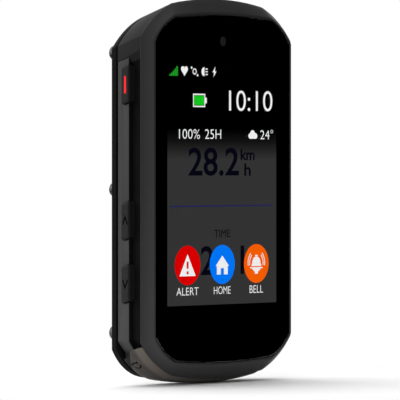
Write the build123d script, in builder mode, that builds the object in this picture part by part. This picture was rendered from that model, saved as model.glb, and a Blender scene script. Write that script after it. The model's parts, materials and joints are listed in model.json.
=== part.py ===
from build123d import *
import os
from collections import namedtuple
from math import atan2, cos, hypot, radians, sin, tan

# A handlebar cycling computer, upright: screen towards -Y, mount boss towards +Y, +Z along its
# length.  The origin is the centre of the mount boss's end face.  All sizes are in millimetres.
# A "level" is a depth behind the front face of the glass, so level 0 is that face.

# ---- Overall sizes -------------------------------------------------------------------------
overall_depth = 16.6        # glass face to mount boss end face
body_width = 53.6           # across the bezel's rear edge
body_height = 87.3          # along the bezel's rear edge, end to end

# ---- Levels of the stacked shells ----------------------------------------------------------
lip_level = 0.15            # front of the bezel's lip around the glass
edge_level = 2.15           # widest edge of the bezel's slope
bezel_back = 2.4            # bezel meets the middle housing
channel_back = 6.1          # rear wall of the black channel
mid_back = 9.5              # middle housing ends, gasket begins
cover_front = 10.0          # rear cover begins
cover_edge = 11.4           # widest edge of the rear cover
plateau_level = 13.0        # flat back of the rear cover
cover_inside = 11.5         # inner face of the rear cover's back wall

# ---- Clearances ----------------------------------------------------------------------------
glue_gap = 0.15             # glass to its pocket floor
pocket_gap = 0.1            # glass edge to the lip
button_gap = 0.15           # button to its opening
stack_gap = 0.05            # between layers of the display stack
inner_gap = 0.3             # inner pieces to the housing wall
trim_gap = 0.04             # inlaid trims and strips to their seats

# ---- Walls ---------------------------------------------------------------------------------
side_wall = 2.72            # middle housing outline to its cavity, at the sides
end_wall = 3.2              # the same at the top and bottom ends
crown_run = 3.0             # width of the rear cover's sloped rim
cover_wall = 2.4            # rear cover outline to its cavity
cover_round = 0.8           # rounding of the rear cover's back edge
gasket_inset = 0.45         # gasket groove below the housing's outline
gasket_width = 1.3

# ---- Glass and display ---------------------------------------------------------------------
glass_thickness = 0.8
glass_edge_round = 0.22
display_width = 40.4
display_height = 57.3
display_centre = 1.65
window_border = 0.5         # bezel window beyond the display
touch_thickness = 0.2
panel_thickness = 0.95
backlight_thickness = 0.75
frame_thickness = 0.5
flex_width = 12.0
flex_thickness = 0.14
sensor_diameter = 2.2
sensor_below_crown = 5.85   # light sensor's centre below the glass's top
window_corner = 1.0
adhesive_inset = 0.4        # glass edge to the adhesive ring, and its window beyond the bezel's
sensor_clearance = 0.5      # adhesive round the light sensor
pipe_flange = 0.7           # rim and thickness of the light guide's flange
frame_overlap = 1.5         # metal frame beyond the display, top and bottom together
frame_slot = 2.4            # notch in the frame for the flexible strip
frame_opening = (7.5, 12.0, 1.2)    # lightening holes: width, height and corner radius
frame_spacing = (11.0, 17.0)
flex_bend = 0.6
flex_reach = 7.0            # flexible strip's run behind the frame
flex_connector = (7.0, 2.4, 0.95)   # width, height and thickness

# ---- Sides ---------------------------------------------------------------------------------
slant = 0.31                # fall of every slanted end for each millimetre towards the back
recess_below_crown = 11.35  # recess's top end below the bezel's top, at the glass level
recess_end_slope = 45       # degrees, slope of the recess's top end wall
strip_seat = 2.2            # channel floor under the strip, below the bezel outline
strip_thickness = 0.6
trim_seat = 1.8             # trim's seat below the bezel outline
trim_thickness = 1.25
end_channel = 1.6           # channel depth along the bottom end
bar_rise = 8.93             # bottom buttons' side ends above the bezel's foot, at the glass level
trim_foot_rise = 0.2        # trim's foot above the bottom buttons' ends, clear of their travel
groove_drop = 0.85          # trim's recess below the same ends

# ---- Side buttons --------------------------------------------------------------------------
button_face = 0.3           # button face beyond the bezel outline
button_front = 5.5          # level of the button's front edge
button_breadth = 2.5
button_length = 8.45        # along the side, without the slant of its ends
button_round = 0.45
button_corner = 0.55        # corners of the button seen from the side
button_inset = 0.15         # button's inner end inside the housing wall
mark_depth = 0.1
mark_line = 0.34            # stroke of the raised marks
power_mark = (4.0, 0.55)
ring_mark_radius = 0.8
seal_place = 0.35           # seal groove beyond the cavity wall
seal_depth = 0.27
seal_gap = 0.04             # seal's outer edge to its opening
groove_width = 0.4
flange_rim = 0.6
flange_thickness = 0.6
plunger_diameter = 1.4
plunger_length = 1.2
power_below_recess = 8.65   # power button's centre below the recess's top end
down_above_bars = 13.42     # down button's centre above the bottom buttons' ends
button_pitch = 14.27        # up button above the down button
press_travel = 0.5

sweep_level = 6.3           # rear edge of the bottom buttons at their side ends
sweep_slope = 0.63          # backward step of that edge for each millimetre down

# ---- Bottom buttons ------------------------------------------------------------------------
bar_proud = 0.65            # bottom buttons beyond the bezel outline
bar_bevel_level = 4.5       # rear edge of their front bevel
bar_back = 8.6              # rear edge along the bottom
bar_gap = 0.7               # bar to the channel floor, more than the travel
bar_middle_gap = 0.5        # between the two bars
bar_wall_gap = 0.28         # bar to the channel's front and rear walls
bar_sweep_gap = 0.42        # bar to the channel's slanted rear edge, which it nears when pressed
plunger_x = 12.0
guide_x = 3.6
bar_pin_level = 5.0
bar_pin_diameter = 2.2
pin_root = 0.3              # pins sunk into the buttons
pin_groove_rise = 0.5       # seal groove above the channel floor
loop_radius = 1.15
loop_gap = (0.9, 0.7)       # opening in the loop mark
loop_head = 0.5             # its arrow head
play_radius = 0.95
play_stroke = 1.7

# ---- Mount ---------------------------------------------------------------------------------
mount_core = 25.4           # neck of the quarter-turn mount
mount_span = 30.4           # across its two tabs
tab_thickness = 1.9
tab_angle = 62              # degrees covered by each tab
mount_base = 27.0
mount_seat_depth = 0.8
mount_seat_gap = 0.05
mount_dish = 17.0
mount_dish_depth = 0.9
mount_screw_circle = 9.6    # spacing of the four mount screws
mount_pad = 24.0            # inner pad that the mount screws bite into
mount_pad_level = 11.0

# ---- Posts and bosses of the middle housing ------------------------------------------------
post_inset = 1.0
post_diameter = 4.0
post_front = 3.45
boss_diameter = 3.4
boss_front = 6.5
pin_reach = 1.75            # bottom buttons' pins above the cavity's lowest point

# ---- Fasteners -----------------------------------------------------------------------------
rear_head = 3.3
rear_head_level = 13.3      # top of the rear screws' domed heads, proud of the cover
rear_seat_level = 12.0
rear_shank = 1.4
rear_boss_rim = 0.8         # cover's boss beyond the housing's
head_clearance = 0.3
shank_clearance = 0.2
rear_dome = 0.6
small_dome = 0.25
thread_start = 0.4          # end of a screw's hole beyond its tip
socket_depth = 0.45
rear_screw_inset = 2.5
small_head = 2.2
small_head_height = 0.7
small_shank = 1.0
socket_width = 0.9

# ---- Switches ------------------------------------------------------------------------------
switch_half = 2.2
switch_depth = 2.3
switch_floor = 0.4
bar_switch_half = 1.6
stop_gap = 0.1              # switch's stop beyond the button's travel
well_clearance = 0.5
well_lip = 0.6              # switch's collar round the button's plunger
side_board_thickness = 0.6
side_board_reach = 3.3      # switch boards beyond the outermost switches' centres

# ---- Inner pieces --------------------------------------------------------------------------
board_front = 4.6
board_thickness = 1.0
board_side_gap = 2.1        # main board to the cavity's sides
board_end_gap = 1.2
can_places = [(-11.0, 12.0, 14.0, 11.0), (8.5, 10.5, 13.0, 13.0), (0.0, -8.0, 17.0, 8.0)]  # x, z, size
can_wall = 0.2
can_corner = 0.5
antenna_x = (-16.0, -3.0)
antenna_size = (13.0, 3.2, 0.6)     # height, thickness and edge rounding
antenna_drop = 5.5          # antenna's foot below the speaker's centre
battery_width = 37.0
battery_length = 44.0
battery_front = 6.5
battery_back = 10.8
battery_centre = -1.5
battery_round = 1.6
battery_end_round = 0.5
plug_body = (6.0, 1.8, 1.6)         # battery connector: width, height and thickness
plug_key = (4.4, 1.5, 0.3)          # its latch
plug_gap = 0.4              # battery to its connector
port_width = 8.94
port_height = 3.26
port_wall = 0.3
port_from_bottom = 10.3     # port's centre above the rear cover's bottom
flap_width = 12.4
flap_height = 6.0
flap_recess = 0.8
flap_gap = 0.2
barrel_radius = 0.37
port_block_wall = 1.2       # rear cover's boss round the port
tether_slot = 3.0
tether_rise = 3.8           # tether bar above the rear cover's bottom
tether_level = 12.0
tether_radius = 0.62
tether_bar_length = 8.9
speaker_x = 8.0
speaker_rise = 8.0          # speaker's centre above the battery
speaker_slot = (8.0, 1.0)
speaker_pitch = 2.2
speaker_case = (15.0, 11.0, 2.0)    # width, height and corner radius
speaker_thickness = 3.0
mesh_size = (12.0, 8.0, 1.5)
mesh_thickness = 0.25
membrane_diameter = 5.0
membrane_thickness = 0.3
cap_corner = 1.2
plug_size = (7.8, 1.7, 0.9)         # width, height and depth of the flap's plug
plug_root = 0.1
tongue_size = (6.6, 0.7)
tongue_setback = 1.1        # tongue's tip inside the port's mouth
port_floor = 1.0
vent_diameter = 1.2

os.makedirs("parts", exist_ok=True)


def finish(builder, name):
    """Label a finished piece and write it to its own file."""
    builder.part.label = name
    export_step(builder.part, "parts/" + name + ".step")


def level(depth):
    """The plane at a depth behind the glass face; its normal points to the front."""
    return Plane.XZ.offset(overall_depth - depth)


def y_at(depth):
    return depth - overall_depth


# ---- Outlines ------------------------------------------------------------------------------
# An end is given by its crown height, and from there the fall to the straight side's end,
# the run from the side to the corner's inner end, the rise of the crown over that corner end,
# and the bulge of the corner arc.
End = namedtuple("End", "crown fall run rise bulge")
Outline = namedtuple("Outline", "half_width top bottom")

half_width = body_width / 2
half_height = body_height / 2
front_end = End(half_height, 9.05, 10.7, 1.4, 0.9)
front_outline = Outline(half_width, front_end, front_end)
rear_outline = Outline(
    half_width - 0.6,
    End(half_height - 3.0, 8.8, 10.4, 1.4, 0.9),
    End(half_height + 0.45, 7.8, 9.9, 1.2, 1.35),
)
lip_end = End(half_height - 3.15, 6.75, 7.5, 0.8, 0.7)
lip_outline = Outline(half_width - 2.2, lip_end, lip_end)
glass_end = End(half_height - 3.9, 6.2, 6.6, 0.8, 0.65)
glass_outline = Outline(half_width - 2.95, glass_end, glass_end)


def mixed(first, second, share):
    """An outline part of the way from one outline to another."""
    ends = []
    for near, far in ((first.top, second.top), (first.bottom, second.bottom)):
        ends.append(End(*[a + (b - a) * share for a, b in zip(near, far)]))
    width = first.half_width + (second.half_width - first.half_width) * share
    return Outline(width, *ends)


def body_outline(depth):
    """The body's outline at a level, from the bezel's edge to the rear cover's edge."""
    return mixed(front_outline, rear_outline, (depth - edge_level) / (cover_edge - edge_level))


def inset(outline, side, end=None):
    """The outline moved inwards: by side at the sides, by end at the ends; negative grows it."""
    end = side if end is None else end
    ends = []
    for shape in (outline.top, outline.bottom):
        turn = atan2(shape.run, shape.fall - shape.rise)
        side_end = shape.crown - shape.fall - side * tan(turn / 2)
        corner_shift = end * tan((radians(90) - turn) / 2)
        crown = shape.crown - end
        ends.append(End(crown, crown - side_end, shape.run - side + corner_shift, shape.rise, shape.bulge))
    return Outline(outline.half_width - side, *ends)


def end_points(outline, end, sign):
    """Side end, corner arc's middle and corner's inner end, on the +X side."""
    side = Vector(outline.half_width, sign * (end.crown - end.fall))
    corner = Vector(outline.half_width - end.run, sign * (end.crown - end.rise))
    chord = corner - side
    outward = Vector(abs(chord.Y), sign * abs(chord.X)) / hypot(chord.X, chord.Y)
    return side, (side + corner) * 0.5 + outward * end.bulge, corner


def flipped(point):
    return Vector(-point.X, point.Y)


def outline_face(outline, depth):
    """The outline as a flat face at a level."""
    with BuildSketch(level(depth), mode=Mode.PRIVATE) as sketch:
        with BuildLine():
            top_side, top_mid, top_corner = end_points(outline, outline.top, 1)
            low_side, low_mid, low_corner = end_points(outline, outline.bottom, -1)
            Line(low_side, top_side)
            ThreePointArc(top_side, top_mid, top_corner)
            ThreePointArc(top_corner, (0, outline.top.crown), flipped(top_corner))
            ThreePointArc(flipped(top_corner), flipped(top_mid), flipped(top_side))
            Line(flipped(top_side), flipped(low_side))
            ThreePointArc(flipped(low_side), flipped(low_mid), flipped(low_corner))
            ThreePointArc(flipped(low_corner), (0, -outline.bottom.crown), low_corner)
            ThreePointArc(low_corner, low_mid, low_side)
        make_face()
    return sketch.sketch


def between(near, near_level, far, far_level):
    """The solid between two outlines at two levels, with straight walls."""
    near_wire = outline_face(near, near_level).face().outer_wire()
    far_wire = outline_face(far, far_level).face().outer_wire()
    return Solid.make_loft([near_wire, far_wire], ruled=True)


def prism(outline, near_level, far_level):
    """The outline extruded between two levels."""
    return extrude(outline_face(outline, far_level), amount=far_level - near_level, mode=Mode.PRIVATE)


def block(x_range, levels, z_range):
    """A plain box given by its ranges, with levels for its depth."""
    size = [x_range[1] - x_range[0], levels[1] - levels[0], z_range[1] - z_range[0]]
    middle_x = (x_range[0] + x_range[1]) / 2
    middle_y = y_at((levels[0] + levels[1]) / 2)
    middle_z = (z_range[0] + z_range[1]) / 2
    return Pos(middle_x, middle_y, middle_z) * Box(*size, mode=Mode.PRIVATE)


def peg(x, z, diameter, near_level, far_level):
    """A round peg along the depth of the object."""
    middle = Pos(x, y_at((near_level + far_level) / 2), z)
    return middle * Rot(90, 0, 0) * Cylinder(diameter / 2, far_level - near_level, mode=Mode.PRIVATE)


# ---- Places worked out from the sizes above --------------------------------------------------
recess_top = half_height - recess_below_crown
bar_start = bar_rise - half_height
cavity = inset(body_outline(mid_back), side_wall, end_wall)
cavity_half = cavity.half_width
window_width = display_width + 2 * window_border
window_height = display_height + 2 * window_border
sensor_z = glass_outline.top.crown - sensor_below_crown
power_z = recess_top - power_below_recess
down_z = bar_start + down_above_bars
up_z = down_z + button_pitch
port_z = -rear_outline.bottom.crown + port_from_bottom
screw_x = rear_outline.half_width - rear_screw_inset
button_head = button_length / 2 + slant * button_breadth / 2 + flange_rim
middle_screw_z = max(0.0, up_z + button_head + boss_diameter / 2 + stack_gap)
screw_heights = (recess_top - 1.3, middle_screw_z, bar_start + 2.2)
rear_screw_places = [(x, z) for z in screw_heights for x in (-screw_x, screw_x)]
mount_screw_reach = mount_screw_circle / 2
mount_screw_places = [(mount_screw_reach * x, mount_screw_reach * z) for x in (-1, 1) for z in (-1, 1)]
FAR = 200.0


def slanted_region(height, above, tilt=0.0, side=0):
    """All space above or below a plane that falls by slant towards the back.

    height is the plane's height at level 0.  tilt, in degrees, slopes it up towards the
    outside on the side given by side (-1 left, 1 right)."""
    along = Vector(0, 1, -slant)
    across = Vector(side * cos(radians(tilt)), 0, sin(radians(tilt))) if side else Vector(1, 0, 0)
    normal = along.cross(across)
    normal = normal if normal.Z > 0 else normal * -1
    place = Plane(origin=(side * half_width, y_at(0), height), x_dir=along, z_dir=normal)
    reach = FAR / 2 if above else -FAR / 2
    return place * Pos(0, 0, reach) * Box(FAR, FAR, FAR, mode=Mode.PRIVATE)


# ---- Glass and bezel -------------------------------------------------------------------------
glass_pocket = inset(glass_outline, -pocket_gap)
pocket_floor = glass_thickness + glue_gap

with BuildPart() as cover_glass:
    add(prism(glass_outline, 0, glass_thickness))
    fillet(cover_glass.faces().sort_by(Axis.Y)[0].edges(), glass_edge_round)
finish(cover_glass, "cover_glass")

with BuildPart() as front_bezel:
    add(between(lip_outline, lip_level, front_outline, edge_level))
    add(prism(front_outline, edge_level, bezel_back))
    add(prism(glass_pocket, lip_level, pocket_floor), mode=Mode.SUBTRACT)
    with BuildSketch(level(bezel_back)):
        with Locations((0, display_centre)):
            RectangleRounded(window_width, window_height, window_corner)
    extrude(amount=bezel_back, mode=Mode.SUBTRACT)
    add(peg(0, sensor_z, sensor_diameter + 2 * stack_gap, 0, bezel_back + 1), mode=Mode.SUBTRACT)
finish(front_bezel, "front_bezel")

with BuildPart() as glass_adhesive:
    with BuildSketch(level(pocket_floor)):
        add(outline_face(inset(glass_outline, adhesive_inset), pocket_floor))
        with Locations((0, display_centre)):
            ring_size = (window_width + adhesive_inset, window_height + adhesive_inset)
            RectangleRounded(*ring_size, window_corner, mode=Mode.SUBTRACT)
        with Locations((0, sensor_z)):
            Circle(sensor_diameter / 2 + sensor_clearance, mode=Mode.SUBTRACT)
    extrude(amount=glue_gap)
finish(glass_adhesive, "glass_adhesive")


def display_layer(name, near_level, thickness, shrink, corner):
    """One flat layer of the display stack, centred behind the window."""
    with BuildPart() as layer:
        with BuildSketch(level(near_level + thickness)):
            with Locations((0, display_centre)):
                RectangleRounded(display_width - 2 * shrink, display_height - 2 * shrink, corner)
        extrude(amount=thickness)
    finish(layer, name)
    return near_level + thickness


touch_back = display_layer("touch_panel", glass_thickness, touch_thickness, 0.0, 0.8)
panel_front = touch_back + stack_gap
panel_back = display_layer("display_panel", panel_front, panel_thickness, 0.1, 0.6)
backlight_front = panel_back + stack_gap
backlight_back = display_layer("backlight", backlight_front, backlight_thickness, 0.3, 0.6)
frame_front = backlight_back + stack_gap
frame_back = frame_front + frame_thickness

with BuildPart() as display_frame:
    with BuildSketch(level(frame_back)):
        with Locations((0, display_centre)):
            frame_size = (2 * (cavity_half - inner_gap), display_height + frame_overlap)
            RectangleRounded(*frame_size, 2 * window_corner)
        with Locations((0, display_centre - display_height / 2)):
            Rectangle(flex_width + frame_overlap, frame_slot, mode=Mode.SUBTRACT)
        with GridLocations(*frame_spacing, 3, 2):
            RectangleRounded(*frame_opening, mode=Mode.SUBTRACT)
    extrude(amount=frame_thickness)
finish(display_frame, "display_frame")

flex_path_z = display_centre - (display_height + window_border) / 2
flex_back = y_at(board_front - stack_gap * 5)
connector_x = flex_connector[0] / 2
connector_z = flex_path_z + flex_reach - 1.0
with BuildPart() as display_flex:
    with BuildSketch(Plane.YZ.offset(-flex_width / 2)):
        with BuildLine() as flex_path:
            FilletPolyline(
                (y_at(panel_front + 0.3), flex_path_z),
                (flex_back, flex_path_z),
                (flex_back, flex_path_z + flex_reach),
                radius=flex_bend,
            )
        trace(flex_path.line, flex_thickness)
    extrude(amount=flex_width)
    connector_levels = (board_front - flex_connector[2], board_front)
    add(block((-connector_x, connector_x), connector_levels, (connector_z, connector_z + flex_connector[1])))
finish(display_flex, "display_flex")

with BuildPart() as light_pipe:
    add(peg(0, sensor_z, sensor_diameter, glass_thickness + stack_gap, board_front - 0.1))
    add(peg(0, sensor_z, sensor_diameter + 2 * pipe_flange, bezel_back + stack_gap, bezel_back + pipe_flange))
finish(light_pipe, "light_pipe")


# ---- Middle housing --------------------------------------------------------------------------
def button_profile(height, margin):
    """A side button's outline, seen from the side: upright edges and slanted ends."""
    front = y_at(button_front) - margin
    back = y_at(button_front + button_breadth) + margin
    reach = button_length / 2 + margin
    middle = y_at(button_front + button_breadth / 2)
    front_z = height + slant * (middle - front)
    back_z = height + slant * (middle - back)
    with BuildSketch(Plane.YZ, mode=Mode.PRIVATE) as sketch:
        with BuildLine():
            Polyline(
                (front, front_z + reach),
                (back, back_z + reach),
                (back, back_z - reach),
                (front, front_z - reach),
                close=True,
            )
        make_face()
        fillet(sketch.vertices(), button_corner + max(margin, 0))
    return sketch.sketch


def button_block(side, height, margin, inner_x, outer_x):
    """The button's outline extruded between two distances from the middle plane."""
    face = Pos(inner_x, 0, 0) * button_profile(height, margin)
    solid = extrude(face, amount=outer_x - inner_x, mode=Mode.PRIVATE)
    return solid if side > 0 else mirror(solid, about=Plane.YZ, mode=Mode.PRIVATE)


left_heights = {"power": power_z, "up": up_z, "down": down_z}
right_heights = {"enter": up_z, "back": down_z}
side_buttons = [(-1, name, height) for name, height in left_heights.items()]
side_buttons += [(1, name, height) for name, height in right_heights.items()]


def corner_sweep(gap=0.0):
    """Space in front of the bottom channel's slanted rear edge, moved forward by a gap."""
    place = Plane(
        origin=(0, y_at(sweep_level - gap), bar_start - slant * sweep_level),
        x_dir=(1, 0, 0),
        z_dir=Vector(0, 1, sweep_slope),
    )
    return place * Pos(0, 0, -FAR / 2) * Box(FAR, FAR, FAR, mode=Mode.PRIVATE)


def ring_zone(seat, near_level, far_level, outer=None):
    """Everything outside an outline between two levels."""
    outer = prism(inset(front_outline, -6), near_level, far_level) if outer is None else outer
    return outer - prism(seat, near_level, far_level)


def side_half(side, gap=0.0):
    """All space on one side of the middle plane, less a gap beside it."""
    return Pos(side * (FAR / 2 + gap), 0, 0) * Box(FAR, FAR, FAR, mode=Mode.PRIVATE)


def recess_zone(side, seat_depth, near_level, far_level, foot, top_gap=0.0, outer=None):
    """A length of the side recess, down to a seat, from a slanted foot to its sloped top end."""
    zone = ring_zone(inset(front_outline, seat_depth), near_level, far_level, outer)
    zone = zone & side_half(side, cavity_half)
    zone = zone & slanted_region(foot, above=True)
    return zone - slanted_region(recess_top - top_gap, True, recess_end_slope, side)


def all_openings(side, margin, inner_x, outer_x):
    """Every side button's outline on one side, grown by a margin."""
    return [button_block(s, h, margin, inner_x, outer_x) for s, name, h in side_buttons if s == side]


trim_foot = bar_start + trim_foot_rise
groove_foot = bar_start - groove_drop
strip_foot = bar_start + press_travel + bar_wall_gap
bar_seat = inset(front_outline, strip_seat, end_channel)
bottom_channel = ring_zone(bar_seat, bezel_back, bar_back + bar_wall_gap)
bottom_channel = bottom_channel & slanted_region(strip_foot, above=False) & corner_sweep()
post_points = []
for cavity_end, sign in ((cavity.top, 1), (cavity.bottom, -1)):
    arc_middle = end_points(cavity, cavity_end, sign)[1]
    post_points += [(x * (arc_middle.X - post_inset), arc_middle.Y - sign * post_inset) for x in (-1, 1)]
bar_pin_top = -cavity.bottom.crown + pin_reach
pin_places = [(x, y_at(bar_pin_level)) for x in (-plunger_x, -guide_x, guide_x, plunger_x)]

with BuildPart() as mid_housing:
    add(between(body_outline(bezel_back), bezel_back, body_outline(mid_back), mid_back))
    add(prism(cavity, bezel_back, mid_back), mode=Mode.SUBTRACT)
    for x, z in post_points:
        add(peg(x, z, post_diameter, post_front, board_front))
    for x, z in rear_screw_places:
        add(peg(x, z, boss_diameter, boss_front, mid_back))
    for side in (-1, 1):
        add(recess_zone(side, strip_seat, bezel_back, channel_back, bar_start), mode=Mode.SUBTRACT)
        add(recess_zone(side, trim_seat, channel_back, mid_back, groove_foot), mode=Mode.SUBTRACT)
    add(bottom_channel, mode=Mode.SUBTRACT)
    for side in (-1, 1):
        for opening in all_openings(side, button_gap, cavity_half - 3, half_width + 1):
            add(opening, mode=Mode.SUBTRACT)
    for x, z in post_points:
        add(peg(x, z, small_shank, post_front + thread_start, board_front), mode=Mode.SUBTRACT)
    for x, z in rear_screw_places:
        add(peg(x, z, rear_shank, boss_front + thread_start, mid_back), mode=Mode.SUBTRACT)
    with BuildSketch(Plane.XY.offset(-half_height)):
        with Locations(*pin_places):
            Circle(bar_pin_diameter / 2 + button_gap)
    extrude(amount=half_height / 3, mode=Mode.SUBTRACT)
finish(mid_housing, "mid_housing")


# ---- Inlays of the sides ---------------------------------------------------------------------
for side, word in ((-1, "left"), (1, "right")):
    openings = all_openings(side, button_gap, cavity_half, half_width + 1)
    strip_levels = (bezel_back + trim_gap, channel_back - trim_gap)
    trim_levels = (channel_back + trim_gap, mid_back - trim_gap)
    strip_face = prism(inset(front_outline, strip_seat - strip_thickness), *strip_levels)
    trim_face = prism(inset(front_outline, trim_seat - trim_thickness), *trim_levels)
    with BuildPart() as side_strip:
        add(recess_zone(side, strip_seat - trim_gap, *strip_levels, strip_foot, trim_gap, strip_face))
        for opening in openings:
            add(opening, mode=Mode.SUBTRACT)
    finish(side_strip, word + "_side_strip")

    with BuildPart() as side_trim:
        add(recess_zone(side, trim_seat - trim_gap, *trim_levels, trim_foot, trim_gap, trim_face))
        for opening in openings:
            add(opening, mode=Mode.SUBTRACT)
    finish(side_trim, word + "_side_trim")


# ---- Side buttons ----------------------------------------------------------------------------
cap_outer = half_width + button_face
cap_inner = cavity_half - button_inset
seal_levels = (cavity_half + seal_place, cavity_half + seal_place + groove_width)
nub_y = y_at(button_front + button_breadth / 2)
mark_y = nub_y - mark_depth


def mark_face(name, height):
    """The raised shape on a side button, drawn in the plane of the button's face."""
    with BuildSketch(Plane.YZ, mode=Mode.PRIVATE) as sketch:
        if name == "power":
            with Locations((mark_y, height)):
                SlotOverall(*power_mark, rotation=90)
        elif name == "enter":
            with Locations((mark_y, height)):
                Circle(ring_mark_radius)
                Circle(ring_mark_radius - mark_line, mode=Mode.SUBTRACT)
        else:
            tip = {"up": (0, 0.9), "down": (0, -0.9), "back": (-0.55, 0)}[name]
            feet = {"up": -0.9, "down": 0.9, "back": 0.45}[name]
            if name == "back":
                points = [(feet, 0.9), tip, (feet, -0.9)]
            else:
                points = [(-0.7, feet), tip, (0.7, feet)]
            with BuildLine(mode=Mode.PRIVATE) as stroke:
                Polyline(*[(mark_y + a, height + b) for a, b in points])
            trace(stroke.line, mark_line)
    return sketch.sketch


def mark_block(side, name, height):
    face = Pos(cap_outer - mark_depth, 0, 0) * mark_face(name, height)
    solid = extrude(face, amount=mark_depth, mode=Mode.PRIVATE)
    return solid if side > 0 else mirror(solid, about=Plane.YZ, mode=Mode.PRIVATE)


for side, name, height in side_buttons:
    with BuildPart() as side_button:
        add(button_block(side, height, 0, cap_inner, cap_outer))
        outer_face = side_button.faces().sort_by(Axis.X)[-1 if side > 0 else 0]
        fillet(outer_face.edges(), button_round)
        add(button_block(side, height, flange_rim, cap_inner - flange_thickness, cap_inner))
        groove = button_block(side, height, 1.0, *seal_levels)
        add(groove - button_block(side, height, -seal_depth, *seal_levels), mode=Mode.SUBTRACT)
        nub_x = side * (cap_inner - flange_thickness)
        with BuildSketch(Plane(origin=(nub_x, nub_y, height), z_dir=(-side, 0, 0))):
            Circle(plunger_diameter / 2)
        extrude(amount=plunger_length)
        add(mark_block(side, name, height), mode=Mode.SUBTRACT)
    finish(side_button, name + "_button")

    with BuildPart() as mark:
        add(mark_block(side, name, height))
    finish(mark, name + "_mark")

    with BuildPart() as seal:
        add(button_block(side, height, button_gap - seal_gap, *seal_levels))
        add(button_block(side, height, -seal_depth, *seal_levels), mode=Mode.SUBTRACT)
    finish(seal, name + "_seal")


# ---- Bottom buttons --------------------------------------------------------------------------
bar_front = bezel_back + bar_wall_gap
pin_base = -half_height + end_channel - bar_gap - pin_root
pin_groove = -half_height + end_channel + pin_groove_rise
corner_mark_level = (bar_bevel_level + bar_back) / 2
corner_chord = (front_end.run, front_end.fall - front_end.rise)
corner_normal = Vector(corner_chord[1], -corner_chord[0]) / hypot(*corner_chord)
bar_seat_inner = inset(front_outline, strip_seat - bar_gap, end_channel - bar_gap)


def bar_skin(proud):
    """The bottom buttons' outer shape: a bevel behind the bezel, then a nearly level face."""
    bevel_edge = inset(body_outline(bar_bevel_level), -proud)
    skin = between(inset(front_outline, stack_gap), bar_front, bevel_edge, bar_bevel_level)
    return skin + between(bevel_edge, bar_bevel_level, inset(body_outline(bar_back), -proud), bar_back)


bars = bar_skin(bar_proud) - prism(bar_seat_inner, bar_front, bar_back)
bars = bars & slanted_region(bar_start, above=False) & corner_sweep(bar_sweep_gap)
inner_skin = bar_skin(bar_proud - mark_depth)
corner_mark = end_points(inset(front_outline, -bar_proud), front_outline.bottom, -1)[1]


def loop_mark():
    """An open ring with an arrow head, for the lap button."""
    with BuildSketch(mode=Mode.PRIVATE) as sketch:
        Circle(loop_radius)
        Circle(loop_radius - mark_line, mode=Mode.SUBTRACT)
        with PolarLocations(loop_radius, 1, start_angle=38):
            Rectangle(*loop_gap, mode=Mode.SUBTRACT)
        with PolarLocations(loop_radius, 1, start_angle=60):
            RegularPolygon(loop_head, 3)
    return sketch.sketch


def play_mark():
    """A triangle with an upright stroke, for the start and stop button."""
    with BuildSketch(mode=Mode.PRIVATE) as sketch:
        with Locations((-play_radius / 3, 0)):
            RegularPolygon(play_radius, 3)
        with Locations((loop_radius, 0)):
            Rectangle(mark_line, play_stroke)
    return sketch.sketch


for side, name, icon in ((-1, "lap", loop_mark()), (1, "start_stop", play_mark())):
    corner_out = Vector(side * corner_normal.X, 0, corner_normal.Y)
    icon_place = Plane(
        origin=(side * corner_mark.X, y_at(corner_mark_level), corner_mark.Y),
        x_dir=(0, -1, 0),
        z_dir=corner_out,
    )
    icon_block = extrude(icon_place * Pos(0, 0, -1) * icon, amount=2)
    pins = [place for place in pin_places if place[0] * side > 0]
    with BuildPart() as bar:
        add(bars & side_half(side, bar_middle_gap / 2))
        with BuildSketch(Plane.XY.offset(pin_base)):
            with Locations(*pins):
                Circle(bar_pin_diameter / 2)
        extrude(amount=bar_pin_top - pin_base)
        with BuildSketch(Plane.XY.offset(bar_pin_top)):
            with Locations(*[place for place in pins if abs(place[0]) == plunger_x]):
                Circle(plunger_diameter / 2)
        extrude(amount=plunger_length)
        with BuildSketch(Plane.XY.offset(pin_groove)):
            with Locations(*pins):
                Circle(bar_pin_diameter / 2 + 0.1)
                Circle(bar_pin_diameter / 2 - seal_depth, mode=Mode.SUBTRACT)
        extrude(amount=groove_width, mode=Mode.SUBTRACT)
        add(icon_block - inner_skin, mode=Mode.SUBTRACT)
    finish(bar, name + "_button")

    with BuildPart() as mark:
        add((icon_block & bar_skin(bar_proud)) - inner_skin)
    finish(mark, name + "_mark")

    with BuildPart() as seal:
        with BuildSketch(Plane.XY.offset(pin_groove)):
            with Locations(*pins):
                Circle(bar_pin_diameter / 2 + button_gap - seal_gap)
                Circle(bar_pin_diameter / 2 - seal_depth, mode=Mode.SUBTRACT)
        extrude(amount=groove_width)
    finish(seal, name + "_seal")


# ---- Switches and their boards ---------------------------------------------------------------
switch_front = board_front + board_thickness + stop_gap
switch_back = switch_front + switch_depth
well_diameter = plunger_diameter + well_clearance
nub_tip = cap_inner - flange_thickness - plunger_length
switch_outer = nub_tip + well_lip
switch_inner = nub_tip - press_travel - switch_floor
well_floor = nub_tip - press_travel - stop_gap
side_board_inner = switch_inner - side_board_thickness

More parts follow.
